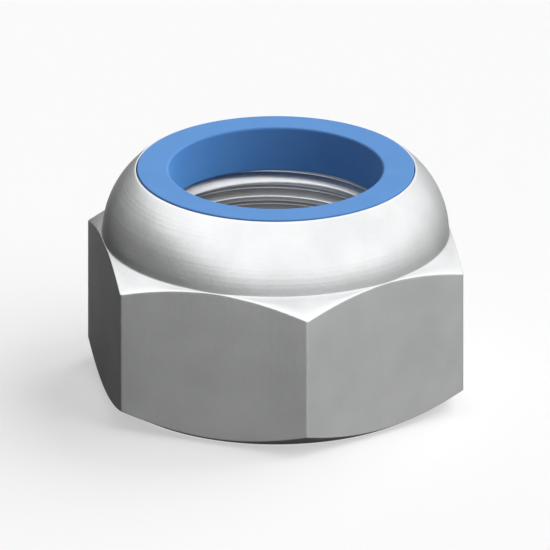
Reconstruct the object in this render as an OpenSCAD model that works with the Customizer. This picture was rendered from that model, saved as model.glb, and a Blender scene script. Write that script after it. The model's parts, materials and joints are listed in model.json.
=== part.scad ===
// Self-locking hexagon nut: a cold-formed steel nut whose collar is rolled over a
// polyamide ring. It stands on its bearing face, with its axis along Z.
// Two corners of the hexagon lie on the X axis, and two flats face +Y and -Y.

/* [Hexagon] */
// Width across flats, which is the spanner size
across_flats = 30; // [27:0.5:36]
// Height of the hexagon, from the bearing face to the foot of the collar
hex_height = 14; // [10:0.5:20]
// Step from the flats in to the edge of the bearing face
bearing_step = 0.9; // [0.3:0.1:1.5]
// Angle of the chamfers on the corners, from the horizontal
chamfer_angle = 30; // [15:1:40]

/* [Thread] */
// Nominal diameter of the thread, across its roots in the nut
thread_d = 20; // [16:0.5:21]
// Pitch of the thread
thread_pitch = 1.5; // [1:0.25:2.5]
// Angle of the chamfers at both ends of the thread, from the axis
thread_chamfer_angle = 45; // [30:5:60]
// Reach of the chamfer at the bearing face, outside the thread's roots
entry_reach = 0.5; // [0.2:0.1:1]
// Reach of the chamfer under the locking ring, outside the thread's roots
exit_reach = 0.2; // [0.1:0.1:0.6]

/* [Rolled collar] */
// Height of the collar, from its foot to the top of the nut
collar_height = 6; // [4.5:0.25:8]
// Step from the flats in to the foot of the collar
collar_step = 0.05; // [0.05:0.05:0.5]
// Reach of the rolled lip, in past the foot of the ring's seat
lip_reach = 1; // [0.5:0.1:1.6]

/* [Locking ring] */
// Height of the ring, from its seat to the top of the nut
ring_height = 4; // [3:0.1:6]
// Width of the ring's foot, from its bore to its outer edge
ring_width = 3.7; // [3:0.1:4.4]
// Gap between the ring and the collar
ring_gap = 0.05; // [0.02:0.01:0.15]
// Step from the crests of the thread out to the ring's smooth bore
ring_bore_step = 0.06; // [0.02:0.02:0.4]
// Width of the chamfers at both ends of the ring's bore
ring_chamfer = 0.15; // [0.05:0.05:0.4]

/* [Hidden] */
$fn = 192;

// Depth of an internal 60 degree thread, for each millimetre of pitch
THREAD_DEPTH_RATIO = 0.54127;
// Spare length where a cutting shape runs out past the metal
SPARE = 1;

top_z = hex_height + collar_height;
flat_r = across_flats / 2;
corner_r = flat_r / cos(30);
bearing_r = flat_r - bearing_step;

thread_r = thread_d / 2;
crest_r = thread_r - THREAD_DEPTH_RATIO * thread_pitch;
entry_r = thread_r + entry_reach;
exit_r = thread_r + exit_reach;

ring_bore_r = crest_r + ring_bore_step;
seat_r = ring_bore_r + ring_width + ring_gap;
seat_z = top_z - ring_height;
lip_r = seat_r - lip_reach;

// The collar leans in along one arc, which starts upright at the collar's foot and
// ends at the edge of the opening, at the top of the nut
collar_r = flat_r - collar_step;
lean = collar_r - lip_r;
roll_r = (lean * lean + collar_height * collar_height) / (2 * lean);
roll_centre_r = collar_r - roll_r;
// The inside of the collar has the same centre, so that its wall is even all along
seat_roll_r = norm([seat_r - roll_centre_r, seat_z - hex_height]);

// Section of a round body between two heights, with a side that follows the roll of
// the collar at the distance arc_r from its centre, and a neck of radius neck_r
module rolled_section(arc_r, neck_r, low_z, high_z) {
    intersection() {
        translate([0, low_z])
            square([corner_r, high_z - low_z]);
        union() {
            translate([roll_centre_r, hex_height])
                circle(r = arc_r);
            translate([0, low_z])
                square([neck_r, high_z - low_z]);
        }
    }
}

// Section of a round body with a flared end: radius r below the flare, which opens
// at the thread chamfer's angle and passes through mouth_r at mouth_z. The flare
// runs on for the spare length, upwards where way is 1 and downwards where it is -1.
module flare_section(r, mouth_r, mouth_z, way) {
    depth = (mouth_r - r) / tan(thread_chamfer_angle);
    spread = SPARE * tan(thread_chamfer_angle);
    polygon([
        [0, mouth_z - way * depth],
        [r, mouth_z - way * depth],
        [mouth_r + spread, mouth_z + way * SPARE],
        [0, mouth_z + way * SPARE]
    ]);
}

// Section of the hexagon's turned outline: the lower chamfer rises from the bearing
// face, and the upper one falls away from the foot of the collar
module hexagon_section() {
    outer_r = corner_r + SPARE;
    low_rise = (outer_r - bearing_r) * tan(chamfer_angle);
    high_fall = (outer_r - collar_r) * tan(chamfer_angle);
    polygon([
        [0, 0],
        [bearing_r, 0],
        [outer_r, low_rise],
        [outer_r, hex_height - high_fall],
        [collar_r, hex_height],
        [0, hex_height]
    ]);
}

// Section of the hole at the diameter of the thread's crests, with its two chamfers
module thread_section() {
    translate([0, -SPARE])
        square([crest_r, seat_z + 2 * SPARE]);
    flare_section(crest_r, entry_r, 0, -1);
    intersection() {
        flare_section(crest_r, exit_r, seat_z, 1);
        square([exit_r, seat_z]);
    }
}

// Section of the ring: its foot and shoulder fill the seat up to the underside of
// the lip, and its neck lies flush with the top of the nut
module ring_section() {
    difference() {
        rolled_section(seat_roll_r - ring_gap, lip_r - ring_gap, seat_z, top_z);
        translate([0, seat_z - SPARE])
            square([ring_bore_r, ring_height + 2 * SPARE]);
        polygon([
            [0, seat_z],
            [ring_bore_r + ring_chamfer, seat_z],
            [ring_bore_r, seat_z + ring_chamfer],
            [ring_bore_r, top_z - ring_chamfer],
            [ring_bore_r + ring_chamfer, top_z],
            [0, top_z]
        ]);
    }
}

// Steel nut: hexagon, thread and rolled collar in one piece
module nut_body() {
    color([0.66, 0.67, 0.68])
        intersection() {
            translate([0, 0, -SPARE])
                cylinder(h = top_z + 2 * SPARE, r = corner_r, $fn = 6);
            rotate_extrude()
                difference() {
                    union() {
                        hexagon_section();
                        rolled_section(roll_r, crest_r, hex_height, top_z);
                    }
                    thread_section();
                    rolled_section(seat_roll_r, lip_r, seat_z, top_z + SPARE);
                }
        }
}

// Polyamide ring, which the bolt's thread cuts its way through
module locking_ring() {
    color([0.41, 0.61, 0.86])
        rotate_extrude()
            ring_section();
}

nut_body();
locking_ring();
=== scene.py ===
import json

import bmesh
import bpy
import numpy as np
from mathutils import Matrix, Vector


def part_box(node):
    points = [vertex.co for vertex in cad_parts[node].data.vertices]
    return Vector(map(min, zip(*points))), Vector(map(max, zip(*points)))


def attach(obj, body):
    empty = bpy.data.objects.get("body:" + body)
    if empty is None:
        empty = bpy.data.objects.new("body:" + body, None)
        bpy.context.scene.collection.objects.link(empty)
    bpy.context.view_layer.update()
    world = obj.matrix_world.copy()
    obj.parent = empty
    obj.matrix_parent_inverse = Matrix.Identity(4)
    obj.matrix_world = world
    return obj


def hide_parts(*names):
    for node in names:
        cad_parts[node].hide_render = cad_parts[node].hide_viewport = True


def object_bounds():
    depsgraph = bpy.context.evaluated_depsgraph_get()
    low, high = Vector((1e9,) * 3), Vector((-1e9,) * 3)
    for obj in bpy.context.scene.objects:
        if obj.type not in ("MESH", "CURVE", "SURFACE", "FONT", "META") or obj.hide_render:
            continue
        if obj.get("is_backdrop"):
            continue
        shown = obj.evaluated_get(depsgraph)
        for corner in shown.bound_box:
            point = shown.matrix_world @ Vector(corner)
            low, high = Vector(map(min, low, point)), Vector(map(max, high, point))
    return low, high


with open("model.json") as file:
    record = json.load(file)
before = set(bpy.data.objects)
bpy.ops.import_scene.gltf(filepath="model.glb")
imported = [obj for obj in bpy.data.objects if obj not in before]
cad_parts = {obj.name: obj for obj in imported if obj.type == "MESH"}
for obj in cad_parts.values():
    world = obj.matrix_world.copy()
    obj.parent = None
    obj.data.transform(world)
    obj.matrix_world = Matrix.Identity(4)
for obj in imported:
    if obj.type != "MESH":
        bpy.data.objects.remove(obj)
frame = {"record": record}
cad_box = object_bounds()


# Camera. The photo is a parallel view, so the camera is orthographic. Its height, its
# turn and its scale come from the ellipses of the ring and the upright edges.
MM = 0.001
scene = bpy.context.scene
AZIMUTH, ELEVATION = np.radians(20.82), np.radians(22.1)
PHOTO_WIDTH = 550
PIXELS_PER_MM = 11.607
TOP_CENTRE_PIXEL = (275.7, 168.0)
CAMERA_DISTANCE = 400 * MM

camera_right = Vector((np.cos(AZIMUTH), np.sin(AZIMUTH), 0))
camera_back = Vector((
    np.sin(AZIMUTH) * np.cos(ELEVATION),
    -np.cos(AZIMUTH) * np.cos(ELEVATION),
    np.sin(ELEVATION),
))
camera_up = camera_back.cross(camera_right)
pixel = MM / PIXELS_PER_MM
top_centre = Vector((0, 0, cad_box[1][2]))
view_centre = (
    top_centre
    + camera_right * (PHOTO_WIDTH / 2 - TOP_CENTRE_PIXEL[0]) * pixel
    + camera_up * (TOP_CENTRE_PIXEL[1] - PHOTO_WIDTH / 2) * pixel
)
camera_data = bpy.data.cameras.new("camera")
camera_data.type = "ORTHO"
camera_data.ortho_scale = PHOTO_WIDTH * pixel
camera_data.clip_start = 1 * MM
camera = bpy.data.objects.new("camera", camera_data)
scene.collection.objects.link(camera)
camera_turn = Matrix((camera_right, camera_up, camera_back)).transposed().to_4x4()
camera.matrix_world = Matrix.Translation(view_centre + camera_back * CAMERA_DISTANCE) @ camera_turn
scene.camera = camera


# Steel nut. One piece of cold-formed steel: the hexagon is pressed, both ends are chamfered,
# the thread is tapped, and the collar is rolled in over the ring last. It is zinc plated in
# a barrel, which leaves a satin grey and rubs the edges brighter.

# All lengths are in millimetres. What the frame gives comes from there.
mounts = {mount["name"]: mount for mount in frame["record"]["mounts"]}
body_high = np.array(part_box("nut_body")[1]) / MM
ring_low, ring_high = (np.array(corner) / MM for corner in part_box("locking_ring"))
flat_r, top_z = body_high[1], body_high[2]
seat_z = ring_low[2]
crest_r = mounts["thread"]["dims"]["r_mm"]
HEX_HEIGHT = 14.0
BEARING_STEP = 0.9
COLLAR_STEP = 0.05
CHAMFER_SLOPE = np.tan(np.radians(30))
RING_GAP = 0.05
LIP_REACH = 1.0
PITCH = 1.5
THREAD_DEPTH = 0.54127 * PITCH
ENTRY_R, EXIT_R = 10.5, 10.2
HALF_CORNER = np.radians(30)
CORNER_ROUND = 0.3
EDGE_ROUND = 0.14
FOOT_ROUND = 0.22
LIP_ROUND = 0.1
RIM_ROUND = 0.15

# Angles, in radians, by which the rolled arc stops short of its foot and of its lip,
# where the roundings begin
FOOT_TRIM, LIP_TRIM = 0.035, 0.05

DULL_GREY = (0.56, 0.565, 0.57, 1)
CLEAR_GREY = (0.64, 0.645, 0.65, 1)
RUBBED_GREY = (0.72, 0.725, 0.73, 1)
EDGE_TINT = (0.5, 0.5, 0.5, 1)

bearing_r = flat_r - BEARING_STEP
collar_r = flat_r - COLLAR_STEP
collar_height = top_z - HEX_HEIGHT
seat_r = ring_high[0] + RING_GAP
lip_r = seat_r - LIP_REACH
lean = collar_r - lip_r
roll_r = (lean**2 + collar_height**2) / (2 * lean)
roll_centre = np.array([collar_r - roll_r, HEX_HEIGHT])
seat_roll_r = np.hypot(seat_r - roll_centre[0], seat_z - HEX_HEIGHT)


def hexagon_columns(steps_per_flat, steps_per_corner, margin):
    """Angle of each column round the nut: even steps along each flat, up to the margin
    from its ends, and short steps along the small arc of each corner."""
    reach = np.arctan((flat_r - CORNER_ROUND) * np.tan(HALF_CORNER) / flat_r)
    near_end = reach - margin / flat_r
    along_flat = np.linspace(-near_end, near_end, steps_per_flat)
    along_corner = np.linspace(reach, 2 * HALF_CORNER - reach, steps_per_corner)
    one_side = np.concatenate((along_flat, along_corner)) + HALF_CORNER
    turns = (one_side + 2 * HALF_CORNER * np.arange(6)[:, None]).ravel()
    return np.append(turns, turns[0] + 2 * np.pi)


def hexagon_radius(turn):
    """Distance from the axis to the hexagon's outline: on a flat, flat_r over the cosine
    of the angle from its middle, and on a corner, the far side of the rounding circle."""
    from_middle = np.abs(turn % (2 * HALF_CORNER) - HALF_CORNER)
    from_corner = HALF_CORNER - from_middle
    centre_r = (flat_r - CORNER_ROUND) / np.cos(HALF_CORNER)
    across = np.minimum(centre_r * np.sin(from_corner), CORNER_ROUND)
    on_corner = centre_r * np.cos(from_corner) + np.sqrt(CORNER_ROUND**2 - across**2)
    is_flat = flat_r * np.tan(from_middle) <= (flat_r - CORNER_ROUND) * np.tan(HALF_CORNER)
    return np.where(is_flat, flat_r / np.cos(from_middle), on_corner)


def section_point(r, z):
    """A corner of the section, at the radius r and the height z, which are the same all
    round the axis, or given for each column."""
    return np.stack(np.broadcast_arrays(r, z), axis=-1)


def straight(start, end, shares):
    """Rows on the line from start to end, at these shares of its length."""
    return start + (end - start) * np.array(shares)[:, None, None]


def arc(radius, start, end, steps):
    """Rows on an arc round the roll's centre, between two angles from the horizontal."""
    turn = np.linspace(start, end, steps)[:, None]
    return roll_centre + radius * np.stack((np.cos(turn), np.sin(turn)), axis=-1)


def rounded(before, corner, after, radius, steps=5, most=0.45):
    """Rows on the arc that rounds a corner between two legs. It touches each leg at the
    radius over the tangent of half their angle, but no further than the share most of
    the shorter leg."""
    legs = [end - corner for end in (before, after)]
    lengths = [np.linalg.norm(leg, axis=-1, keepdims=True) for leg in legs]
    to_before, to_after = (leg / length for leg, length in zip(legs, lengths))
    half = np.arccos((to_before * to_after).sum(-1, keepdims=True)) / 2
    touch = np.minimum(radius / np.tan(half), most * np.minimum(*lengths))
    middle = (to_before + to_after) / (2 * np.cos(half))
    centre = corner + middle * touch / np.cos(half)
    start, end = (corner + leg * touch - centre for leg in (to_before, to_after))
    sweep = np.pi - 2 * half
    share = np.linspace(0, 1, steps)[:, None, None]
    from_centre = np.sin((1 - share) * sweep) * start + np.sin(share * sweep) * end
    return centre + from_centre / np.sin(sweep)


def thread_rows(columns, softness):
    """Rows of the tapped hole. Each is a helix that climbs one pitch in a turn, and its
    phase from a crest gives its radius: a crest a quarter of the pitch wide, flanks at 30
    degrees and a root of an eighth, with soft edges. Each countersink narrows by as much
    as it goes deep, and cuts in where it is the wider. The edge between the two is
    rounded: the less they differ, the more it is cut away. Rows that leave the hole end
    on its rims."""
    to_root = [0, 0.085, 0.115, 0.135, 0.16, 0.2, 0.24, 0.28, 0.32, 0.36, 0.4, 0.425, 0.447, 0.5]
    phases = np.array(to_root + [1 - phase for phase in to_root[-2:0:-1]])
    pitches = int(np.ceil(seat_z / PITCH)) + 1
    phase = (np.arange(pitches)[:, None] + phases).reshape(-1, 1)
    from_crest = np.abs((phase + 0.5) % 1 - 0.5)
    climb = (from_crest - 1 / 8) / (5 / 16)
    depth = THREAD_DEPTH * (np.hypot(climb, softness) - np.hypot(climb - 1, softness) + 1) / 2
    z = seat_z - PITCH * phase + PITCH * (columns - columns[0]) / (2 * np.pi)
    z = np.clip(z, 0, seat_z)
    thread = crest_r + depth
    countersinks = np.maximum(ENTRY_R - z, EXIT_R - (seat_z - z))
    cut_away = np.maximum(RIM_ROUND - np.abs(thread - countersinks), 0)**2 / (4 * RIM_ROUND)
    return section_point(np.maximum(thread, countersinks) + cut_away, z)


def skin(name, columns, parts, weld=0.0004, sharp=40):
    """Mesh of a closed section carried round the axis, where the row r, z meets the
    column a in the point (r cos a, r sin a, z). Each part of the section is its rows and
    its marks, which become attributes for the material. Points closer than the weld are
    joined, at the seam and where the thread ends, and quads that this closes up are
    dropped. Edges above the sharp angle, in degrees, stay sharp."""
    grids = [np.broadcast_to(rows, (len(rows), columns.size, 2)) for rows, marks in parts]
    r, z = np.moveaxis(np.concatenate(grids), -1, 0)
    points = np.stack((r * np.cos(columns), r * np.sin(columns), z), axis=-1) * MM
    here = np.arange(r.size).reshape(r.shape)
    beyond = np.roll(here, -1, axis=0)
    quads = np.stack((here[:, :-1], here[:, 1:], beyond[:, 1:], beyond[:, :-1]), axis=-1)
    mesh = bpy.data.meshes.new(name)
    mesh.from_pydata(points.reshape(-1, 3), [], quads.reshape(-1, 4))
    grid_sizes = [grid[..., 0].size for grid in grids]
    for mark in parts[0][1]:
        shares = [marks[mark] for rows, marks in parts]
        attribute = mesh.attributes.new(mark, "FLOAT", "POINT")
        attribute.data.foreach_set("value", np.repeat(np.float32(shares), grid_sizes))
    welded = bmesh.new()
    welded.from_mesh(mesh)
    bmesh.ops.remove_doubles(welded, verts=welded.verts, dist=weld * MM)
    bmesh.ops.recalc_face_normals(welded, faces=welded.faces)
    welded.to_mesh(mesh)
    welded.free()
    mesh.shade_smooth()
    mesh.set_sharp_from_angle(angle=np.radians(sharp))
    piece = bpy.data.objects.new(name, mesh)
    scene.collection.objects.link(piece)
    return piece


nut_columns = hexagon_columns(steps_per_flat=23, steps_per_corner=9, margin=0.1)
hexagon_r = hexagon_radius(nut_columns)
countersink_edge = section_point(ENTRY_R, 0)
bearing_edge = section_point(bearing_r, 0)
low_edge = section_point(hexagon_r, (hexagon_r - bearing_r) * CHAMFER_SLOPE)
high_edge = section_point(hexagon_r, HEX_HEIGHT - (hexagon_r - collar_r) * CHAMFER_SLOPE)
collar_foot = section_point(collar_r, HEX_HEIGHT)
after_foot = collar_foot + np.array([0, 1])
lip_edge = section_point(lip_r, top_z)
lip_turn = np.arcsin(collar_height / roll_r)
before_lip = lip_edge + np.array([np.sin(lip_turn), -np.cos(lip_turn)])
opening_z = HEX_HEIGHT + np.sqrt(seat_roll_r**2 - (lip_r - roll_centre[0])**2)
opening_edge = section_point(lip_r, opening_z)
opening_turn = np.arctan2(opening_z - HEX_HEIGHT, lip_r - roll_centre[0])
seat_turn = np.arctan2(seat_z - HEX_HEIGHT, seat_r - roll_centre[0])

TURNED = {"turned": 1, "rubbed": 0}
PRESSED = {"turned": 0, "rubbed": 0}
RUBBED = {"turned": 1, "rubbed": 1}
steel_body = skin("steel_body", nut_columns, [
    (straight(countersink_edge, bearing_edge, (0, 0.03, 0.25, 0.5, 0.75, 0.97)), TURNED),
    (rounded(countersink_edge, bearing_edge, low_edge, EDGE_ROUND), RUBBED),
    (straight(bearing_edge, low_edge, (0.12, 0.5, 0.82)), TURNED),
    (rounded(bearing_edge, low_edge, high_edge, EDGE_ROUND), RUBBED),
    (straight(low_edge, high_edge, (0.02, 0.1, 0.3, 0.5, 0.7, 0.9, 0.98)), PRESSED),
    (rounded(low_edge, high_edge, collar_foot, EDGE_ROUND), RUBBED),
    (straight(high_edge, collar_foot, (0.5,)), TURNED),
    (rounded(high_edge, collar_foot, after_foot, FOOT_ROUND), TURNED),
    (arc(roll_r, FOOT_TRIM, lip_turn - LIP_TRIM, 30), TURNED),
    (rounded(before_lip, lip_edge, opening_edge, LIP_ROUND), RUBBED),
    (arc(seat_roll_r, opening_turn, seat_turn, 6), TURNED),
    (thread_rows(nut_columns, softness=0.05), TURNED),
])


def add_node(tree, kind, sockets=(), **fields):
    """Add a shader node and set its fields. Each socket is given a value or a link."""
    node = tree.nodes.new("ShaderNode" + kind)
    for field, value in fields.items():
        setattr(node, field, value)
    for socket, value in dict(sockets).items():
        if isinstance(value, bpy.types.NodeSocket):
            tree.links.new(value, node.inputs[socket])
        else:
            node.inputs[socket].default_value = value
    return node


def calculated(tree, operation, *values):
    """Result of one operation of the Math node on these values or links."""
    return add_node(tree, "Math", dict(enumerate(values)), operation=operation).outputs[0]


def stretched(tree, place, factors):
    """Coordinates multiplied by one factor on each axis."""
    return add_node(tree, "VectorMath", {0: place, 1: factors}, operation="MULTIPLY").outputs[0]


def noise(tree, place, size, detail=2.0):
    """Soft noise from 0 to 1 whose features are about this many millimetres wide."""
    sockets = {"Vector": place, "Scale": 1 / (size * MM), "Detail": detail}
    return add_node(tree, "TexNoise", sockets).outputs[0]


def spread(tree, value, low, high):
    """Carry the middle of a noise's range, 0.3 to 0.7, to the range low to high."""
    sockets = {"Value": value, "From Min": 0.3, "From Max": 0.7, "To Min": low, "To Max": high}
    return add_node(tree, "MapRange", sockets).outputs[0]


def colour_between(tree, share, start, end):
    """Colour that goes from start to end as the share goes from 0 to 1. The node takes
    the two colours on its sockets 6 and 7."""
    return add_node(tree, "Mix", {0: share, 6: start, 7: end}, data_type="RGBA").outputs[2]


def circles_round_axis(tree, place):
    """Coordinates that are the same all the way round the axis: the radius and the
    height, so that a noise on them draws the rings that a lathe tool leaves."""
    level = stretched(tree, place, (1, 1, 0))
    radius = add_node(tree, "VectorMath", {0: level}, operation="LENGTH").outputs["Value"]
    height = add_node(tree, "SeparateXYZ", {0: place}).outputs["Z"]
    return add_node(tree, "CombineXYZ", {"X": radius, "Z": height}).outputs[0]


def zinc_plated_steel():
    """Satin zinc on steel: a neutral grey that clouds a little, with fine grain, and that
    mirrors less at a slant. Turned and rolled faces carry faint rings, the pressed flats
    faint upright streaks, and the rubbed edges are brighter and smoother."""
    material = bpy.data.materials.new("zinc_plated_steel")
    material.use_nodes = True
    tree = material.node_tree
    place = add_node(tree, "TexCoord").outputs["Object"]
    turned = add_node(tree, "Attribute", attribute_name="turned").outputs["Fac"]
    rubbed = add_node(tree, "Attribute", attribute_name="rubbed").outputs["Fac"]
    clouds = noise(tree, place, size=5.0, detail=4.0)
    grain = noise(tree, place, size=0.3)
    rings = noise(tree, circles_round_axis(tree, place), size=0.35)
    streaks = noise(tree, stretched(tree, place, (1, 1, 0.04)), size=0.45)
    tool_marks = add_node(tree, "Mix", {"Factor": turned, "A": streaks, "B": rings}).outputs[0]
    relief = add_node(tree, "Mix", {"Factor": 0.4, "A": tool_marks, "B": grain}).outputs[0]
    bump = add_node(tree, "Bump", {"Height": relief, "Distance": 0.02 * MM}).outputs[0]
    grey = colour_between(tree, spread(tree, clouds, 0, 1), DULL_GREY, CLEAR_GREY)
    colour = colour_between(tree, calculated(tree, "MULTIPLY", rubbed, 0.6), grey, RUBBED_GREY)
    satin = spread(tree, grain, 0.36, 0.42)
    roughness = calculated(tree, "MULTIPLY_ADD", rubbed, -0.06, satin)
    shader = tree.nodes["Principled BSDF"]
    shader.inputs["Metallic"].default_value = 1
    shader.inputs["Specular Tint"].default_value = EDGE_TINT
    tree.links.new(colour, shader.inputs["Base Color"])
    tree.links.new(roughness, shader.inputs["Roughness"])
    tree.links.new(bump, shader.inputs["Normal"])
    return material


steel_body.data.materials.append(zinc_plated_steel())
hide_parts("nut_body")
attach(steel_body, "root")


# Locking ring. A moulded ring of blue polyamide, in the seat that the collar closes over,
# with its neck flush with the top of the nut. Its bore stays smooth until a bolt's
# thread cuts a way through it. Its outside follows the inside of the collar.
bore_r = mounts["ring_bore"]["dims"]["r_mm"]
BORE_ROUND = 0.18
NECK_ROUND = 0.06
DEEP_BLUE = (0.088, 0.27, 0.63, 1)
CLEAR_BLUE = (0.096, 0.285, 0.66, 1)

neck_r = lip_r - RING_GAP
ring_roll_r = seat_roll_r - RING_GAP
shoulder_z = HEX_HEIGHT + np.sqrt(ring_roll_r**2 - (neck_r - roll_centre[0])**2)
shoulder_turn = np.arctan2(shoulder_z - HEX_HEIGHT, neck_r - roll_centre[0])
foot_turn = np.arctan2(seat_z - HEX_HEIGHT, ring_high[0] - roll_centre[0])

bore_foot = section_point(bore_r, seat_z)
ring_foot = section_point(ring_high[0], seat_z)
shoulder = section_point(neck_r, shoulder_z)
neck_top = section_point(neck_r, top_z)
bore_top = section_point(bore_r, top_z)

MOULDED = {}
polyamide_ring = skin("polyamide_ring", np.linspace(0, 2 * np.pi, 181), [
    (rounded(bore_top, bore_foot, ring_foot, BORE_ROUND), MOULDED),
    (straight(bore_foot, ring_foot, (0.1, 0.5, 0.95)), MOULDED),
    (arc(ring_roll_r, foot_turn, shoulder_turn, 7), MOULDED),
    (straight(shoulder, neck_top, (0.5, 0.95)), MOULDED),
    (rounded(shoulder, neck_top, bore_top, NECK_ROUND), MOULDED),
    (straight(neck_top, bore_top, (0.05, 0.3, 0.5, 0.7, 0.9)), MOULDED),
    (rounded(neck_top, bore_top, bore_foot, BORE_ROUND), MOULDED),
    (straight(bore_top, bore_foot, (0.07, 0.3, 0.5, 0.7, 0.93)), MOULDED),
])


def blue_polyamide():
    """Moulded polyamide: an even blue that clouds very little, with a dull skin that is
    slightly pebbled, and faint rings from the mould."""
    material = bpy.data.materials.new("blue_polyamide")
    material.use_nodes = True
    tree = material.node_tree
    place = add_node(tree, "TexCoord").outputs["Object"]
    clouds = noise(tree, place, size=3.0, detail=3.0)
    pebbles = noise(tree, place, size=0.25)
    rings = noise(tree, circles_round_axis(tree, place), size=0.5)
    relief = add_node(tree, "Mix", {"Factor": 0.35, "A": pebbles, "B": rings}).outputs[0]
    bump = add_node(tree, "Bump", {"Height": relief, "Distance": 0.01 * MM}).outputs[0]
    blue = colour_between(tree, spread(tree, clouds, 0, 1), DEEP_BLUE, CLEAR_BLUE)
    shader = tree.nodes["Principled BSDF"]
    shader.inputs["Specular IOR Level"].default_value = 0.15
    tree.links.new(blue, shader.inputs["Base Color"])
    tree.links.new(spread(tree, pebbles, 0.6, 0.68), shader.inputs["Roughness"])
    tree.links.new(bump, shader.inputs["Normal"])
    return material


polyamide_ring.data.materials.append(blue_polyamide())
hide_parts("locking_ring")
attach(polyamide_ring, "root")


# Floor and sky. A pale floor that keeps the nut's shadow, and a white sky. Both are lifted
# to white for the camera and for what the metal mirrors, and not for what they light.
scene.view_settings.view_transform = "Standard"
WHITE = (1, 1, 1, 1)
SKY_LIGHT = 0.25
SKY_SEEN = 0.96
FLOOR_COLOUR = (0.95, 0.95, 0.95, 1)
FLOOR_LIFT = 0.45
FLOOR_GLOW = 1.03
FLOOR_HALF = 4000 * MM


def seen_or_mirrored(tree):
    """1 for camera, glossy and transmission rays, and 0 for the rays that light things."""
    path = add_node(tree, "LightPath").outputs
    seen = calculated(tree, "MAXIMUM", path["Is Camera Ray"], path["Is Glossy Ray"])
    return calculated(tree, "MAXIMUM", seen, path["Is Transmission Ray"])


scene.world = bpy.data.worlds.new("white_sky")
scene.world.use_nodes = True
tree = scene.world.node_tree
tree.nodes.clear()
light = add_node(tree, "Background", {"Color": WHITE, "Strength": SKY_LIGHT}).outputs[0]
white = add_node(tree, "Background", {"Color": WHITE, "Strength": SKY_SEEN}).outputs[0]
sky = add_node(tree, "MixShader", {0: seen_or_mirrored(tree), 1: light, 2: white}).outputs[0]
add_node(tree, "OutputWorld", {"Surface": sky})

pale_floor = bpy.data.materials.new("pale_floor")
pale_floor.use_nodes = True
tree = pale_floor.node_tree
tree.nodes.clear()
paper = add_node(tree, "BsdfDiffuse", {"Color": FLOOR_COLOUR}).outputs[0]
glow = add_node(tree, "Emission", {"Color": WHITE, "Strength": FLOOR_GLOW}).outputs[0]
lift = calculated(tree, "MULTIPLY", seen_or_mirrored(tree), FLOOR_LIFT)
lifted = add_node(tree, "MixShader", {0: lift, 1: paper, 2: glow}).outputs[0]
clear = add_node(tree, "BsdfTransparent").outputs[0]
from_below = add_node(tree, "NewGeometry").outputs["Backfacing"]
one_sided = add_node(tree, "MixShader", {0: from_below, 1: lifted, 2: clear}).outputs[0]
add_node(tree, "OutputMaterial", {"Surface": one_sided})

floor_mesh = bpy.data.meshes.new("floor")
floor_corners = np.array([(-1, -1, 0), (1, -1, 0), (1, 1, 0), (-1, 1, 0)]) * FLOOR_HALF
floor_mesh.from_pydata(floor_corners, [], [(0, 1, 2, 3)])
floor_mesh.materials.append(pale_floor)
floor = bpy.data.objects.new("floor", floor_mesh)
scene.collection.objects.link(floor)
floor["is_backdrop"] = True


# Lamps and cards. Two wide soft lamps on the right and behind light the floor and the ring at a
# plain level. The steel mirrors glowing cards instead, which paint its reflections: a white tent
# above and a bright one in front paint highlights, and grey and dark ones on the floor and on the
# left paint shade.
def soft_lamp(name, azimuth, elevation, width, strength):
    """Far round lamp that takes up this width of the sky and that nothing mirrors. All
    angles are in degrees, and azimuths are counted from +X towards +Y."""
    turn, rise = np.radians(azimuth), np.radians(elevation)
    way = Vector((np.cos(turn) * np.cos(rise), np.sin(turn) * np.cos(rise), np.sin(rise)))
    data = bpy.data.lights.new(name, "SUN")
    data.angle = np.radians(width)
    data.energy = strength
    lamp = bpy.data.objects.new(name, data)
    lamp.visible_glossy = False
    scene.collection.objects.link(lamp)
    lamp.matrix_world = way.to_track_quat("Z", "Y").to_matrix().to_4x4()


soft_lamp("right_lamp", azimuth=5, elevation=40, width=60, strength=1.7)
soft_lamp("back_lamp", azimuth=62, elevation=40, width=50, strength=1.7)


def mirror_card(name, x, y, z, glow):
    """Glowing card that only mirroring faces see: it lights nothing else, throws no shadow and
    isn't seen itself. Its glow paints a reflection into the steel, a highlight where it is bright
    and shade where it is dark. Its points lie on a grid, in millimetres."""
    points = np.stack(np.broadcast_arrays(x, y, z), axis=-1) * MM
    here = np.arange(points[..., 0].size).reshape(points.shape[:2])
    quads = np.stack((here[:-1, :-1], here[:-1, 1:], here[1:, 1:], here[1:, :-1]), axis=-1)
    material = bpy.data.materials.new(name)
    material.use_nodes = True
    tree = material.node_tree
    tree.nodes.clear()
    light = add_node(tree, "Emission", {"Color": WHITE, "Strength": glow}).outputs[0]
    add_node(tree, "OutputMaterial", {"Surface": light})
    mesh = bpy.data.meshes.new(name)
    mesh.from_pydata(points.reshape(-1, 3), [], quads.reshape(-1, 4))
    mesh.materials.append(material)
    card = bpy.data.objects.new(name, mesh)
    scene.collection.objects.link(card)
    card.visible_camera = False
    card.visible_diffuse = False
    card.visible_transmission = False
    card.visible_shadow = False
    card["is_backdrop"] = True


def round_card(name, azimuth, r, z, glow):
    """Card that bends round the nut's axis: at each azimuth, in degrees, its points lie
    at the radius r and the height z."""
    turn = np.radians(azimuth)
    mirror_card(name, r * np.cos(turn), r * np.sin(turn), z, glow)


def fan_card(name, facing, fans, reach, z, glow):
    """Flat card that fans out from the foot of one flat of the hexagon, out to its reach.
    Facing is the flat's azimuth, and fans are the angles by which the card widens on the
    right and on the left of the flat, all in degrees."""
    turn = np.radians(facing)
    right, left = np.tan(np.radians(fans))
    half_flat = flat_r * np.tan(HALF_CORNER)
    out = np.linspace(0, reach, 9)[:, None]
    share = np.linspace(0, 1, 9)
    side = (half_flat + out * left) * share - (half_flat + out * right) * (1 - share)
    x = (flat_r + out) * np.cos(turn) - side * np.sin(turn)
    y = (flat_r + out) * np.sin(turn) + side * np.cos(turn)
    mirror_card(name, x, y, z, glow)
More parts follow.
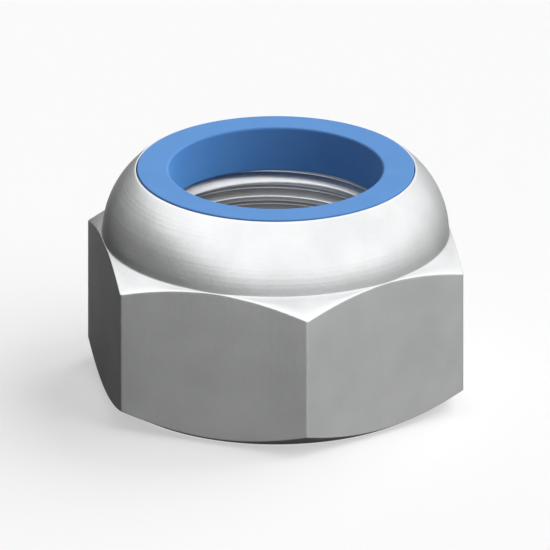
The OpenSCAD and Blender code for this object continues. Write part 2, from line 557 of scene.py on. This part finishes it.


# The tent is a glowing dome, seen only in the steel, that starts 6 degrees above the horizon. It
# glows brighter than the white sky and paints a highlight over the steel.
TENT_RADIUS = 400
all_round = np.linspace(0, 360, 49)
rise = np.radians(np.linspace(6, 90, 13))[:, None]
tent_r, tent_z = TENT_RADIUS * np.cos(rise), TENT_RADIUS * np.sin(rise)
round_card("tent_painted_highlight", all_round, tent_r, tent_z, glow=1.57)

# Floor cards lie one above the other and paint shade into what the steel mirrors of the floor. The
# lowest is grey and reaches all round the nut, the next is dark and lies under the lower chamfer
# as painted contact shade, and the top two face the left flats and paint them darker.
FLOOR_SHADE_RADIUS = 80
round_nut = np.array([[bearing_r], [FLOOR_SHADE_RADIUS]])
outline_turn = np.linspace(0, 360, 145)
outline_r = hexagon_radius(np.radians(outline_turn))
under_chamfer = np.stack((np.full_like(outline_r, bearing_r), outline_r))
round_card("floor_painted_shade", all_round, round_nut, z=0.05, glow=0.515)
round_card("chamfer_painted_shade", outline_turn, under_chamfer, z=0.1, glow=0.06)
fan_card("front_left_flat_painted_shade", facing=270, fans=(32, 0), reach=58, z=0.2, glow=0.253)
fan_card("far_left_flat_painted_shade", facing=210, fans=(80, 28), reach=57, z=0.2, glow=0.012)


def standing_card(name, azimuth, r, lowest, highest, glow):
    """Round card that stands upright at the radius r, from the lowest to the highest
    elevation, in degrees, as seen from the middle of the nut's foot."""
    low, high = np.tan(np.radians(lowest)), np.tan(np.radians(highest))
    share_up = np.linspace(0, 1, 5)[:, None]
    round_card(name, azimuth, r, r * (low + (high - low) * share_up), glow)


# Three cards stand upright round the nut. On the left, a grey one rises from 8 degrees at its ends
# to 35 in its middle, behind a low dark one; both paint shade on the left of the steel. A bright
# one in front paints a highlight in the foot of the collar.
left_side = np.linspace(95, 275, 25)
left_top = 8 + 27 * np.cos(np.radians(left_side - 185))**1.5
left_middle = np.linspace(115, 225, 25)
front = np.linspace(258, 372, 17)
standing_card("left_board_painted_shade", left_side, r=100, lowest=0, highest=left_top, glow=0.45)
standing_card("left_board_painted_deep_shade", left_middle, r=95, lowest=0, highest=15, glow=0.15)
standing_card("front_board_painted_highlight", front, r=390, lowest=5, highest=13, glow=2.05)

visual_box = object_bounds()
sizes = {"cad": cad_box, "visual": visual_box}
sizes = {name: [[float(x) for x in corner] for corner in box] for name, box in sizes.items()}
